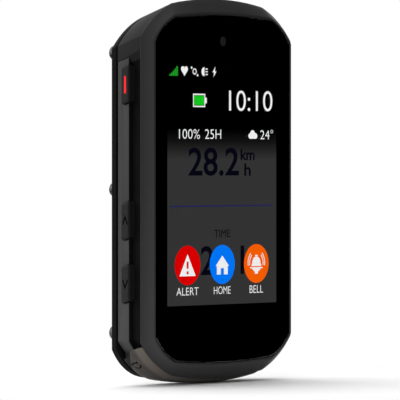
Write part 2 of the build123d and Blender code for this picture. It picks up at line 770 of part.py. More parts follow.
for side, word in ((-1, "left"), (1, "right")):
    heights = [height for s, name, height in side_buttons if s == side]
    with BuildPart() as switches:
        for height in heights:
            x_range = sorted((side * switch_inner, side * switch_outer))
            z_range = (height - switch_half, height + switch_half)
            add(block(x_range, (switch_front, switch_back), z_range))
        for height in heights:
            well = Plane(origin=(side * well_floor, nub_y, height), z_dir=(side, 0, 0))
            with BuildSketch(well):
                Circle(well_diameter / 2)
            extrude(amount=2, mode=Mode.SUBTRACT)
    finish(switches, word + "_switches")

    with BuildPart() as switch_board:
        x_range = sorted((side * side_board_inner, side * switch_inner))
        z_range = (min(heights) - side_board_reach, max(heights) + side_board_reach)
        add(block(x_range, (board_front + board_thickness, switch_back + switch_floor), z_range))
    finish(switch_board, word + "_switch_board")

bar_well_floor = bar_pin_top + plunger_length + press_travel + stop_gap
bar_switch_top = bar_well_floor + switch_floor
bar_switch_foot = bar_pin_top + press_travel + bar_wall_gap
bar_switch_levels = (bar_pin_level - bar_switch_half, bar_pin_level + bar_switch_half)
with BuildPart() as bottom_switches:
    for x in (-plunger_x, plunger_x):
        add(block((x - switch_half, x + switch_half), bar_switch_levels, (bar_switch_foot, bar_switch_top)))
        with BuildSketch(Plane.XY.offset(bar_well_floor)):
            with Locations((x, y_at(bar_pin_level))):
                Circle(well_diameter / 2)
        extrude(amount=-2, mode=Mode.SUBTRACT)
finish(bottom_switches, "bottom_switches")

board_foot = bar_switch_top + side_board_thickness
bottom_board_x = plunger_x + side_board_reach
with BuildPart() as bottom_switch_board:
    add(block((-bottom_board_x, bottom_board_x), bar_switch_levels, (bar_switch_top, board_foot)))
finish(bottom_switch_board, "bottom_switch_board")


# ---- Rear shell ------------------------------------------------------------------------------
cover_cavity = inset(rear_outline, cover_wall)
cover_rim = inset(rear_outline, crown_run)
gasket_line = inset(body_outline(mid_back), gasket_inset)
tongue_line = inset(gasket_line, gasket_width)
board_back = board_front + board_thickness
flap_seat = plateau_level - flap_recess
flap_x = flap_width / 2
hinge_level = plateau_level - barrel_radius - 0.01
flap_top = port_z + flap_height / 2
flap_foot = port_z - flap_height / 2
speaker_z = battery_centre + battery_length / 2 + speaker_rise
tether_z = -rear_outline.bottom.crown + tether_rise

with BuildPart() as housing_gasket:
    add(prism(gasket_line, mid_back, cover_front))
    add(prism(tongue_line, mid_back, cover_front), mode=Mode.SUBTRACT)
finish(housing_gasket, "housing_gasket")

with BuildPart() as rear_cover:
    add(between(body_outline(cover_front), cover_front, rear_outline, cover_edge))
    add(between(rear_outline, cover_edge, cover_rim, plateau_level))
    fillet(rear_cover.faces().sort_by(Axis.Y)[-1].edges(), cover_round)
    add(prism(inset(tongue_line, trim_gap), mid_back, cover_front))
    add(prism(cover_cavity, mid_back, cover_inside), mode=Mode.SUBTRACT)
    for x, z in rear_screw_places:
        add(peg(x, z, boss_diameter + rear_boss_rim, cover_front, cover_inside))
    add(peg(0, 0, mount_pad, mount_pad_level, cover_inside))
    block_x = port_width / 2 + port_block_wall
    block_z = port_height / 2 + port_block_wall
    add(block((-block_x, block_x), (cover_front, cover_inside), (port_z - block_z, port_z + block_z)))
    tether_block = tether_bar_length / 2 + stop_gap
    tether_block_z = (tether_z - cover_wall, flap_foot - flap_gap)
    add(block((-tether_block, tether_block), (cover_front, cover_inside), tether_block_z))
    for x, z in rear_screw_places:
        add(peg(x, z, rear_head + head_clearance, rear_seat_level, overall_depth), mode=Mode.SUBTRACT)
        add(peg(x, z, rear_shank + shank_clearance, bezel_back, plateau_level), mode=Mode.SUBTRACT)
    mount_seat = mount_base + 2 * mount_seat_gap
    add(peg(0, 0, mount_seat, plateau_level - mount_seat_depth, overall_depth), mode=Mode.SUBTRACT)
    for x, z in mount_screw_places:
        add(peg(x, z, small_shank, mount_pad_level + shank_clearance, plateau_level), mode=Mode.SUBTRACT)
    flap_box = (-flap_x - flap_gap, flap_x + flap_gap)
    flap_z = (flap_foot - flap_gap, flap_top + barrel_radius + flap_gap)
    add(block(flap_box, (plateau_level - flap_recess, overall_depth), flap_z), mode=Mode.SUBTRACT)
    port_x = port_width / 2 + stack_gap
    port_zs = (port_z - port_height / 2 - stack_gap, port_z + port_height / 2 + stack_gap)
    add(block((-port_x, port_x), (cover_front, plateau_level), port_zs), mode=Mode.SUBTRACT)
    slot_z = (tether_z - tether_slot / 2, tether_z + tether_slot / 2)
    add(block((-tether_slot, tether_slot), (cover_edge, overall_depth), slot_z), mode=Mode.SUBTRACT)
    tether_axis = Pos(0, y_at(tether_level), tether_z) * Rot(0, 90, 0)
    tether_hole = Cylinder(tether_radius + seal_gap, tether_bar_length + stop_gap, mode=Mode.PRIVATE)
    add(tether_axis * tether_hole, mode=Mode.SUBTRACT)
    with BuildSketch(level(plateau_level)):
        with Locations((speaker_x, speaker_z)):
            with GridLocations(0, speaker_pitch, 1, 3):
                SlotOverall(*speaker_slot)
        with Locations((-mount_span / 2, port_z)):
            Circle(vent_diameter / 2)
    extrude(amount=plateau_level - cover_inside, mode=Mode.SUBTRACT)
finish(rear_cover, "rear_cover")

with BuildPart() as tether_bar:
    with BuildSketch(Plane.YZ.offset(-tether_bar_length / 2)):
        with Locations((y_at(tether_level), tether_z)):
            Circle(tether_radius)
    extrude(amount=tether_bar_length)
finish(tether_bar, "tether_bar")


def hex_socket(x, z, top_level):
    """The hexagonal socket in a screw's head."""
    with BuildSketch(level(top_level), mode=Mode.PRIVATE) as sketch:
        with Locations((x, z)):
            RegularPolygon(socket_width / 2, 6, major_radius=False)
    return extrude(sketch.sketch, amount=socket_depth, mode=Mode.PRIVATE)


def screw(x, z, head, head_levels, shank, tip_level, dome):
    """A domed screw along the object's depth, driven in from behind."""
    with BuildPart(mode=Mode.PRIVATE) as body:
        add(peg(x, z, head, *head_levels))
        fillet(body.edges().sort_by(Axis.Y)[-1], dome)
        add(peg(x, z, shank, tip_level, head_levels[0]))
        add(hex_socket(x, z, head_levels[1]), mode=Mode.SUBTRACT)
    return body.part


with BuildPart() as rear_screws:
    for x, z in rear_screw_places:
        levels = (rear_seat_level, rear_head_level)
        add(screw(x, z, rear_head, levels, rear_shank, boss_front + 1.5 * thread_start, rear_dome))
finish(rear_screws, "rear_screws")

dish_level = overall_depth - mount_dish_depth
with BuildPart() as quarter_turn_mount:
    add(peg(0, 0, mount_base, plateau_level - mount_seat_depth, plateau_level))
    add(peg(0, 0, mount_core, plateau_level, overall_depth))
    with BuildSketch(level(overall_depth)):
        Circle(mount_span / 2)
        tab_x = mount_span * sin(radians(tab_angle / 2))
        tab_z = mount_span * cos(radians(tab_angle / 2))
        for side in (-1, 1):
            with BuildLine():
                tab_edges = ((side * tab_x, tab_z), (side * mount_span, 0), (side * tab_x, -tab_z))
                Polyline((0, 0), *tab_edges, close=True)
            make_face(mode=Mode.SUBTRACT)
    extrude(amount=tab_thickness)
    add(peg(0, 0, mount_dish, dish_level, overall_depth), mode=Mode.SUBTRACT)
    for x, z in mount_screw_places:
        add(peg(x, z, small_shank + shank_clearance, 0, overall_depth), mode=Mode.SUBTRACT)
        head_hole = small_head + shank_clearance
        add(peg(x, z, head_hole, dish_level - small_head_height, overall_depth), mode=Mode.SUBTRACT)
finish(quarter_turn_mount, "quarter_turn_mount")

with BuildPart() as mount_screws:
    for x, z in mount_screw_places:
        levels = (dish_level - small_head_height, dish_level)
        add(screw(x, z, small_head, levels, small_shank, mount_pad_level + head_clearance, small_dome))
finish(mount_screws, "mount_screws")

with BuildPart() as port_cap:
    cap_levels = (plateau_level - flap_recess + stack_gap, plateau_level)
    add(block((-flap_x, flap_x), cap_levels, (flap_foot, flap_top)))
    fillet(port_cap.edges().filter_by(Axis.Y).group_by(Axis.Z)[0], cap_corner)
    with BuildSketch(Plane.YZ.offset(-flap_x)):
        with Locations((y_at(hinge_level), flap_top)):
            Circle(barrel_radius)
    extrude(amount=flap_width)
    plug_x = plug_size[0] / 2
    plug_z = (port_z - plug_size[1] / 2, port_z + plug_size[1] / 2)
    plug_levels = (flap_seat - plug_size[2], flap_seat + plug_root)
    add(block((-plug_x, plug_x), plug_levels, plug_z))
finish(port_cap, "port_cap")

with BuildPart() as usb_port:
    with BuildSketch(level(flap_seat)):
        with Locations((0, port_z)):
            SlotOverall(port_width, port_height)
            SlotOverall(port_width - 2 * port_wall, port_height - 2 * port_wall, mode=Mode.SUBTRACT)
    extrude(amount=flap_seat - board_back)
    with BuildSketch(level(board_back + port_floor)):
        with Locations((0, port_z)):
            SlotOverall(port_width - port_wall, port_height - port_wall)
    extrude(amount=port_floor)
finish(usb_port, "usb_port")

with BuildPart() as usb_tongue:
    tongue_x = tongue_size[0] / 2
    tongue_z = (port_z - tongue_size[1] / 2, port_z + tongue_size[1] / 2)
    add(block((-tongue_x, tongue_x), (board_back + port_floor, flap_seat - tongue_setback), tongue_z))
finish(usb_tongue, "usb_tongue")


# ---- Electronics -----------------------------------------------------------------------------
board_outline = inset(cavity, board_side_gap, board_end_gap)
with BuildPart() as main_board:
    add(prism(board_outline, board_front, board_back))
    add(block((-FAR, FAR), (board_front - 1, board_back + 1), (-FAR, board_foot)), mode=Mode.SUBTRACT)
    for x, z in post_points:
        add(peg(x, z, small_shank + shank_clearance, board_front - 1, board_back + 1), mode=Mode.SUBTRACT)
finish(main_board, "main_board")

with BuildPart() as board_screws:
    for x, z in post_points:
        levels = (board_back, board_back + small_head_height)
        add(screw(x, z, small_head, levels, small_shank, post_front + 1.25 * thread_start, small_dome))
finish(board_screws, "board_screws")

can_front = frame_back + button_gap
with BuildPart() as shield_cans:
    for x, z, wide, tall in can_places:
        with BuildSketch(level(board_front)):
            with Locations((x, z)):
                RectangleRounded(wide, tall, can_corner)
        extrude(amount=board_front - can_front)
        with BuildSketch(level(board_front)):
            with Locations((x, z)):
                RectangleRounded(wide - 2 * can_wall, tall - 2 * can_wall, can_corner - can_wall)
        extrude(amount=board_front - can_front - can_wall, mode=Mode.SUBTRACT)
finish(shield_cans, "shield_cans")

battery_top = battery_centre + battery_length / 2
with BuildPart() as battery:
    x_range = (-battery_width / 2, battery_width / 2)
    add(block(x_range, (battery_front, battery_back), (battery_centre - battery_length / 2, battery_top)))
    fillet(battery.edges().filter_by(Axis.Z), battery_round)
    fillet(battery.edges().filter_by(Axis.X), battery_end_round)
finish(battery, "battery")

with BuildPart() as battery_connector:
    body_x = plug_body[0] / 2
    body_back = board_back + plug_body[2]
    body_foot = battery_top + plug_gap
    add(block((-body_x, body_x), (board_back, body_back), (body_foot, body_foot + plug_body[1])))
    key_x = plug_key[0] / 2
    key_foot = battery_top + stop_gap
    add(block((-key_x, key_x), (body_back, body_back + plug_key[2]), (key_foot, key_foot + plug_key[1])))
finish(battery_connector, "battery_connector")

with BuildPart() as gnss_antenna:
    antenna_foot = speaker_z - antenna_drop
    antenna_levels = (board_back, board_back + antenna_size[1])
    add(block(antenna_x, antenna_levels, (antenna_foot, antenna_foot + antenna_size[0])))
    fillet(gnss_antenna.edges().filter_by(Axis.Y), antenna_size[2])
finish(gnss_antenna, "gnss_antenna")

with BuildPart() as speaker:
    with BuildSketch(level(cover_inside - inner_gap)):
        with Locations((speaker_x, speaker_z)):
            RectangleRounded(*speaker_case)
    extrude(amount=speaker_thickness)
finish(speaker, "speaker")

with BuildPart() as speaker_mesh:
    with BuildSketch(level(cover_inside)):
        with Locations((speaker_x, speaker_z)):
            RectangleRounded(*mesh_size)
    extrude(amount=mesh_thickness)
finish(speaker_mesh, "speaker_mesh")

with BuildPart() as vent_membrane:
    add(peg(-mount_span / 2, port_z, membrane_diameter, cover_inside - membrane_thickness, cover_inside))
finish(vent_membrane, "vent_membrane")
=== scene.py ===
import json
import math

import bmesh
import bpy
from bpy.props import FloatProperty, FloatVectorProperty, PointerProperty, StringProperty
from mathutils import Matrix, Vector


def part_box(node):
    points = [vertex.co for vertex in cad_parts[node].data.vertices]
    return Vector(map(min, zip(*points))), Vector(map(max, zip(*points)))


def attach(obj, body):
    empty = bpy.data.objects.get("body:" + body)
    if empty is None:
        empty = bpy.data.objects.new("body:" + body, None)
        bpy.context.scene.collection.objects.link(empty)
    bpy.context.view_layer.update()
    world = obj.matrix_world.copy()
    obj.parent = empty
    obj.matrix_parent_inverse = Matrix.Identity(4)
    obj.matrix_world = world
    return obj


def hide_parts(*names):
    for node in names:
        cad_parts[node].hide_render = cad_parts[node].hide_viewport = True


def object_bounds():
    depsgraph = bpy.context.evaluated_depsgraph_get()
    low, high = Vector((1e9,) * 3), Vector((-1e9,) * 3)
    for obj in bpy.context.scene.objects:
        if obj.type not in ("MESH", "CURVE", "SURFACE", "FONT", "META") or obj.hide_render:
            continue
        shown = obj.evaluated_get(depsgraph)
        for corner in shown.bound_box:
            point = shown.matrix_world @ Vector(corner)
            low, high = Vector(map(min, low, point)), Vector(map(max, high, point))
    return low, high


bl_info = {
    "name": "Handlebar Cycling Computer",
    "version": (1, 0, 0),
    "blender": (4, 5, 0),
    "location": "View3D > Sidebar > Cycling Computer",
    "description": "Finishes a packed cycling computer: shells, lit display, markings and studio",
    "category": "Object",
}

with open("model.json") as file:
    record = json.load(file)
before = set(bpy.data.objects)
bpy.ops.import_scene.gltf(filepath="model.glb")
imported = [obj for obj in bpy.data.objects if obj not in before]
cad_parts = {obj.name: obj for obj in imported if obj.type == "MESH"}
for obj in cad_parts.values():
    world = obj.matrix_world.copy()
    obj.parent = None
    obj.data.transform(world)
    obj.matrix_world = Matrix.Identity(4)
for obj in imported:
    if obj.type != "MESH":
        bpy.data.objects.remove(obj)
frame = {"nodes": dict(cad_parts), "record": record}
CAD_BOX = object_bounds()
NODES = frame["nodes"]
HOUSING = "housing"
MM = 0.001

# Lengths are in metres.
LAYER = 0.000006  # thickness of each layer drawn on the display
PAGE_GAP = 0.000004  # between the display panel and its lit page
PIXEL = 0.0000916  # pitch of the display's pixels
UNLIT = (0.0005, 0.0005, 0.0005)  # what a pixel reflects of other light

WELD = 2e-6  # points closer than this become one
SAME_LEVEL = 1e-6  # points closer in depth than this lie on one face
FLAT_ANGLE = math.radians(0.6)  # faces closer to level than this are joined
EDGE_ANGLE = math.radians(22)  # edges sharper than this are rounded
SHARP_ANGLE = math.radians(40)  # edges sharper than this stay sharp in the shading
BEVEL_STEPS = 3  # faces across each rounded edge


# ---- Shader arithmetic -----------------------------------------------------------------------
class Signal:
    """A number or colour inside a material's node tree, used in ordinary arithmetic."""

    def __init__(self, tree, socket):
        self.tree = tree
        self.socket = socket

    def math(self, operation, *values):
        node = self.tree.nodes.new("ShaderNodeMath")
        node.operation = operation
        for slot, value in zip(node.inputs, values):
            if isinstance(value, Signal):
                self.tree.links.new(value.socket, slot)
            else:
                slot.default_value = value
        return Signal(self.tree, node.outputs[0])

    def __add__(self, other):
        return self.math("ADD", self, other)

    def __radd__(self, other):
        return self.math("ADD", other, self)

    def __sub__(self, other):
        return self.math("SUBTRACT", self, other)

    def __rsub__(self, other):
        return self.math("SUBTRACT", other, self)

    def __mul__(self, other):
        return self.math("MULTIPLY", self, other)

    def __rmul__(self, other):
        return self.math("MULTIPLY", other, self)

    def __truediv__(self, other):
        return self.math("DIVIDE", self, other)

    def above(self, level, softness):
        """A mask that rises from 0 to 1 across a level."""
        mask = (self - (level - softness / 2)) / softness
        mask.socket.node.use_clamp = True
        return mask


class Finish:
    """One material under construction, with its shader and a way to add any node."""

    def __init__(self, name, **uniform):
        self.material = bpy.data.materials.new(name)
        self.material.use_nodes = True
        self.tree = self.material.node_tree
        self.shader = self.tree.nodes["Principled BSDF"]
        for socket, value in uniform.items():
            self.set(socket.replace("_", " "), value)

    def set(self, socket, value):
        """Give one of the shader's sockets a value, or link a signal to it."""
        if isinstance(value, Signal):
            self.tree.links.new(value.socket, self.shader.inputs[socket])
        elif isinstance(value, tuple) and len(value) == 3:
            self.shader.inputs[socket].default_value = (*value, 1)
        else:
            self.shader.inputs[socket].default_value = value

    def node(self, kind, settings=None, sockets=None, output=0):
        """Add a node of a type, with its settings first and then its sockets' values or links."""
        node = self.tree.nodes.new(kind)
        for key, value in (settings or {}).items():
            if key == "stops":
                ramp = node.color_ramp
                while len(ramp.elements) < len(value):
                    ramp.elements.new(0.5)
                for element, (place, colour) in zip(ramp.elements, value):
                    element.position = place
                    element.color = (*colour, 1)
            else:
                setattr(node, key, value)
        for key, value in (sockets or {}).items():
            if isinstance(value, Signal):
                self.tree.links.new(value.socket, node.inputs[key])
            elif isinstance(value, tuple) and len(value) == 3 and node.inputs[key].type == "RGBA":
                node.inputs[key].default_value = (*value, 1)
            else:
                node.inputs[key].default_value = value
        return Signal(self.tree, node.outputs[output])

    def place(self):
        """The point on the object, in metres in the shared frame."""
        return self.node("ShaderNodeTexCoord", output="Object")

    def along(self, axis):
        """How far along "X", "Y" or "Z" the point is."""
        return self.node("ShaderNodeSeparateXYZ", {}, {"Vector": self.place()}, output=axis)

    def stretched(self, scale):
        """The point, with each axis scaled on its own."""
        return self.node("ShaderNodeMapping", {}, {"Vector": self.place(), "Scale": scale})

    def noise(self, size, detail, roughness=0.55, vector=None, distortion=0.0):
        """Soft random variation; size is that of its features, in metres."""
        sockets = {
            "Vector": vector or self.place(),
            "Scale": 1 / size,
            "Detail": detail,
            "Roughness": roughness,
            "Distortion": distortion,
        }
        return self.node("ShaderNodeTexNoise", {}, sockets)

    def cells(self, size, settings=None):
        """Distance to the nearest of many scattered points; size is their spacing, in metres."""
        sockets = {"Vector": self.place(), "Scale": 1 / size}
        return self.node("ShaderNodeTexVoronoi", settings, sockets)

    def blend(self, share, first, second):
        """A colour between two others; the node's sockets 6 and 7 are the ones for colours."""
        colours = {"Factor": share, 6: first, 7: second}
        return self.node("ShaderNodeMix", {"data_type": "RGBA"}, colours, output=2)

    def bump(self, height, depth):
        """Relief from a height signal; depth is in metres."""
        self.set("Normal", self.node("ShaderNodeBump", {}, {"Height": height, "Distance": depth}))


def tint(colour, factor):
    """A colour made darker or lighter."""
    return tuple(min(channel * factor, 1.0) for channel in colour)


# ---- Finishes ------------------------------------------------------------------------------
def moulded(name, colour, roughness, gloss=0.15, grain=0.00012, depth=0.000004, fade=None):
    """Moulded plastic: a spark-eroded grain, uneven gloss and faint rubbed patches.

    The last argument paints light and shade into the colour from front to rear: the place and width
    of the change, then the tint's strength in front of it and behind it."""
    finish = Finish(name, Specular_IOR_Level=gloss)
    fine = finish.noise(size=grain, detail=3)
    broad = finish.noise(size=0.011, detail=5, roughness=0.6)
    rubbed = finish.noise(size=0.004, detail=6, roughness=0.7).above(level=0.6, softness=0.16)

    def mottled(strength):
        return finish.blend(broad, tint(colour, 0.88 * strength), tint(colour, 1.12 * strength))

    body = mottled(1.0)
    # Painted light and shade: the colour is made lighter or darker from front to rear, standing in
    # for light on a slope or shade at an edge.
    if fade:
        place, width, front, rear = fade
        change = finish.along("Y").above(level=place, softness=width)
        body = finish.blend(change, mottled(front), mottled(rear))
    finish.set("Base Color", body)
    uneven = (broad - 0.5) * 0.1 + (fine - 0.5) * 0.12
    finish.set("Roughness", roughness + uneven - rubbed * 0.06)
    finish.bump(fine, depth)
    return finish.material


def rubber(name, colour, roughness=0.8):
    """Dull black rubber with a fine skin and a dusting of pale bloom."""
    finish = Finish(name, Specular_IOR_Level=0.06)
    skin = finish.noise(size=0.00009, detail=4)
    bloom = finish.noise(size=0.0022, detail=6, roughness=0.7).above(level=0.62, softness=0.2)
    finish.set("Base Color", finish.blend(bloom, colour, tint(colour, 1.8)))
    finish.set("Roughness", roughness + (skin - 0.5) * 0.14 + bloom * 0.06)
    finish.bump(skin, depth=0.000006)
    return finish.material


def metal(name, colour, roughness, streak=(1, 1, 1)):
    """Metal with fine streaks from forming or brushing and small dull stains."""
    finish = Finish(name, Metallic=1.0)
    streaks = finish.noise(size=0.00016, detail=5, vector=finish.stretched(streak))
    stain = finish.noise(size=0.0018, detail=6, roughness=0.65).above(level=0.58, softness=0.2)
    finish.set("Base Color", finish.blend(stain, colour, tint(colour, 0.78)))
    finish.set("Roughness", roughness + (streaks - 0.5) * 0.22 + stain * 0.08)
    finish.bump(streaks, depth=0.0000015)
    return finish.material


def smoky(name, colour):
    """Smoky tinted resin: cloudy depth under a satin skin, with a painted highlight along its thin
    front bevel.
    """
    finish = Finish(name, Specular_IOR_Level=0.12, Coat_Weight=0.04, Coat_Roughness=0.3)
    cloud = finish.noise(size=0.0035, detail=5, roughness=0.6)
    skin = finish.noise(size=0.0001, detail=3)
    # Painted highlight: the front bevel's colour is lightened to stand in for the light it catches.
    bevel = 1 - finish.along("Y").above(level=-0.0122, softness=0.0008)
    body = finish.blend(cloud, tint(colour, 0.8), tint(colour, 1.25))
    finish.set("Base Color", finish.blend(bevel, body, tint(colour, 2.6)))
    finish.set("Roughness", 0.42 + (cloud - 0.5) * 0.12 + (skin - 0.5) * 0.08)
    finish.bump(skin, depth=0.000003)
    return finish.material


def clear_glass(name):
    """Toughened cover glass with faint smears and a slight waviness."""
    finish = Finish(name, Transmission_Weight=1.0, IOR=1.5, Specular_IOR_Level=0.02)
    smudges = finish.noise(size=0.006, detail=6, roughness=0.7, distortion=0.6)
    smear = smudges.above(level=0.62, softness=0.3)
    finish.set("Base Color", finish.blend(smear, (1.0, 1.0, 1.0), (0.97, 0.98, 1.0)))
    finish.set("Roughness", 0.012 + smear * 0.03)
    finish.bump(finish.noise(size=0.02, detail=1), depth=0.0000002)
    return finish.material


def printed(name, colour, roughness=0.5, gloss=0.15):
    """A layer of ink with a fine screen-print texture."""
    finish = Finish(name, Specular_IOR_Level=gloss)
    dots = finish.cells(size=0.00014)
    finish.set("Base Color", finish.blend(dots, colour, tint(colour, 1.4)))
    finish.set("Roughness", roughness + dots * 0.1)
    finish.bump(dots, depth=0.000001)
    return finish.material


def glowing(name):
    """The start of a finish that gives out its own light."""
    finish = Finish(name, Roughness=0.6, Specular_IOR_Level=0.0, Emission_Strength=1.0)
    finish.set("Base Color", UNLIT)
    return finish


def lit(name, colour):
    """Lit pixels: a colour crossed by the faint dark lines of the pixel grid."""
    finish = glowing(name)
    grid = 1
    for axis in ("Z", "X"):
        place = finish.along(axis)
        ripple = place.math("PINGPONG", place, PIXEL / 2) * (2 / PIXEL)
        grid = grid - (1 - ripple.above(level=0.12, softness=0.2)) * 0.1
    finish.set("Emission Color", finish.blend(grid, tint(colour, 0.6), colour))
    return finish.material


def lit_page(name, colour, low, high):
    """The display's own page: grey at the foot, fading to black above."""
    finish = glowing(name)
    rise = (finish.along("Z") - low) / (high - low)
    stops = [(0.0, colour), (0.3, tint(colour, 0.54)), (0.6, tint(colour, 0.19)), (1.0, (0, 0, 0))]
    page = finish.node("ShaderNodeValToRGB", {"stops": stops}, {"Fac": rise})
    speckle = finish.cells(size=PIXEL)
    finish.set("Emission Color", finish.blend(speckle * 0.16, page, (0, 0, 0)))
    return finish.material


def circuit(name, colour, copper):
    """Solder mask over copper tracks, with a slight gloss."""
    finish = Finish(name, Coat_Weight=0.3, Coat_Roughness=0.2)
    tracks = finish.cells(size=1 / 450, settings={"distance": "MANHATTAN"})
    line = tracks.math("PINGPONG", tracks, 0.16).above(level=0.11, softness=0.03)
    finish.set("Base Color", finish.blend(line, colour, copper))
    finish.set("Roughness", 0.38 + line * 0.08)
    finish.bump(line, depth=0.00002)
    return finish.material


def shared(maker, name, *values, **options):
    """The named finish, made the first time it is asked for."""
    return bpy.data.materials.get(name) or maker(name, *values, **options)


def mark_ink():
    return shared(printed, "mark_black", (0.0005, 0.0005, 0.0005), roughness=0.7, gloss=0.0)


def seal_rubber():
    return shared(rubber, "seal_rubber", (0.002, 0.002, 0.002))


def white_pixels():
    return shared(lit, "white_pixels", tuple(screen().white_colour))


# ---- Meshes ----------------------------------------------------------------------------------
def give(thing, material):
    """Make a material the only one of an object."""
    thing.data.materials.clear()
    thing.data.materials.append(material)
    return thing


def dress(names, material):
    """Give packed nodes a better material in their own slots."""
    for name in names:
        thing = NODES[name]
        if not thing.material_slots:
            raise RuntimeError(f"{name} has no material slot")
        for slot in thing.material_slots:
            slot.link = "OBJECT"
            slot.material = material


def body_of(node):
    """The body that a node moves with."""
    for body, members in frame["record"]["behaviour"]["bodies"].items():
        if node in members:
            return body
    raise RuntimeError(f"no body for {node}")


def show(name, data):
    """A new object in the scene."""
    thing = bpy.data.objects.new(name, data)
    bpy.context.scene.collection.objects.link(thing)
    return thing


def made_mesh(thing):
    """The mesh that an object makes with its modifiers, or as a curve or text."""
    view = bpy.context.evaluated_depsgraph_get()
    return bpy.data.meshes.new_from_object(thing.evaluated_get(view))


def curve_mesh(curve):
    """The mesh that a curve or text makes, in place of the curve."""
    setter = show(curve.name + "_setter", curve)
    bpy.context.view_layer.update()
    mesh = made_mesh(setter)
    mesh.name = curve.name
    bpy.data.objects.remove(setter)
    bpy.data.curves.remove(curve)
    return mesh


def add_piece(mesh, name, material):
    """A piece of the housing, made from a mesh."""
    piece = give(show(name, mesh), material)
    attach(piece, HOUSING)
    return piece


def soften(node, material, width):
    """A copy of a node with its hard edges rounded by a small bevel; it stands for the node."""
    mesh = NODES[node].data.copy()
    work = bmesh.new()
    work.from_mesh(mesh)
    bmesh.ops.remove_doubles(work, verts=work.verts, dist=WELD)
    bmesh.ops.dissolve_degenerate(work, dist=WELD, edges=work.edges)
    bmesh.ops.dissolve_limit(work, angle_limit=FLAT_ANGLE, verts=work.verts, edges=work.edges)
    for face in work.faces:
        face.smooth = True
    work.to_mesh(mesh)
    work.free()
    piece = show(node + "_rounded", mesh)
    bevel = piece.modifiers.new("rounding", "BEVEL")
    bevel.width = width
    bevel.segments = BEVEL_STEPS
    bevel.limit_method = "ANGLE"
    bevel.angle_limit = EDGE_ANGLE
    bevel.harden_normals = False
    bevel.use_clamp_overlap = True
    bevel.miter_outer = "MITER_ARC"
    rounded = made_mesh(piece)
    piece.modifiers.clear()
    piece.data = rounded
    rounded.set_sharp_from_angle(angle=SHARP_ANGLE)
    give(piece, material)
    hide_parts(node)
    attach(piece, body_of(node))
    return piece


def layer(level):
    """The y of a drawn layer's back, counted up from the lit page at 0 towards the glass."""
    panel_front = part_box("display_panel")[0][1]
    return panel_front - PAGE_GAP - LAYER * level


def flat_piece(name, outlines, level, material):
    """A thin flat piece of the display, from outlines of (x, z) points in millimetres."""
    back = layer(level)
    work = bmesh.new()
    for outline in outlines:
        work.faces.new([work.verts.new((x * MM, back, z * MM)) for x, z in outline])
    work.normal_update()
    for face in list(work.faces):
        if face.normal.y > 0:
            face.normal_flip()
    grown = bmesh.ops.extrude_face_region(work, geom=list(work.faces))
    lifted = [item for item in grown["geom"] if isinstance(item, bmesh.types.BMVert)]
    bmesh.ops.translate(work, verts=lifted, vec=(0, -LAYER, 0))
    bmesh.ops.recalc_face_normals(work, faces=work.faces)
    bmesh.ops.triangulate(work, faces=work.faces)
    mesh = bpy.data.meshes.new(name)
    work.to_mesh(mesh)
    work.free()
    return add_piece(mesh, name, material)


def lettering(name, text, x_range, z_range, material, weight=0.02):
    """Figures set in a plain face, fitted to a range of x and z in millimetres."""
    curve = bpy.data.curves.new(name, "FONT")
    curve.body = text
    curve.size = 1.0
    curve.offset = weight
    curve.extrude = 0.5  # so that a point's z tells the front from the back
    curve.resolution_u = 6
    mesh = curve_mesh(curve)
    xs = [vertex.co.x for vertex in mesh.vertices]
    ys = [vertex.co.y for vertex in mesh.vertices]
    across = (x_range[1] - x_range[0]) / (max(xs) - min(xs))
    upward = (z_range[1] - z_range[0]) / (max(ys) - min(ys))
    back = layer(1)
    for vertex in mesh.vertices:
        x = x_range[0] + (vertex.co.x - min(xs)) * across
        z = z_range[0] + (vertex.co.y - min(ys)) * upward
        depth = LAYER if vertex.co.z > 0 else 0.0
        vertex.co = Vector((x * MM, back - depth, z * MM))
    return add_piece(mesh, name, material)


def pierced(name, outline, holes, back, thickness, material):
    """A thin flat piece with holes through it, from outlines of (x, z) points in millimetres."""
    curve = bpy.data.curves.new(name, "CURVE")
    curve.dimensions = "2D"
    curve.fill_mode = "BOTH"
    curve.extrude = 0.5  # so that a point's z tells the front from the back
    for loop in [outline, *holes]:
        spline = curve.splines.new("POLY")
        spline.points.add(len(loop) - 1)
        for point, (x, z) in zip(spline.points, loop):
            point.co = (x, z, 0, 1)
        spline.use_cyclic_u = True
    mesh = curve_mesh(curve)
    for vertex in mesh.vertices:
        depth = thickness if vertex.co.z > 0 else 0.0
        vertex.co = Vector((vertex.co.x * MM, back - depth, vertex.co.y * MM))
    return add_piece(mesh, name, material)


def arc(centre, radius, start=0.0, end=360.0, steps=40):
    """Points round a circle or part of one, in degrees."""
    points = []
    whole = abs(end - start) >= 360
    for index in range(steps if whole else steps + 1):
        turn = math.radians(start + (end - start) * index / steps)
        x, z = radius * math.cos(turn), radius * math.sin(turn)
        points.append((centre[0] + x, centre[1] + z))
    return points


def rectangle(x_range, z_range):
    """The corners of an upright rectangle."""
    (left, right), (foot, head) = x_range, z_range
    return [(left, foot), (right, foot), (right, head), (left, head)]


def page_range():
    """The lit page's foot and head, in millimetres, centred on the display."""
    low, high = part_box("display_panel")
    centre = (low[2] + high[2]) / 2 / MM
    half = screen().lit_height / 2 / MM
    return centre - half, centre + half


# ---- Settings --------------------------------------------------------------------------------
def colour_property(name, description, default):
    return FloatVectorProperty(
        name=name, description=description, default=default, size=3, min=0, max=1, subtype="COLOR"
    )


def length_property(name, description, default):
    return FloatProperty(name=name, description=description, default=default, unit="LENGTH")


def power_property(name, description, default):
    return FloatProperty(name=name, description=description, default=default, unit="POWER")


def angle_property(name, description, degrees):
    return FloatProperty(
        name=name, description=description, default=math.radians(degrees), subtype="ANGLE"
    )


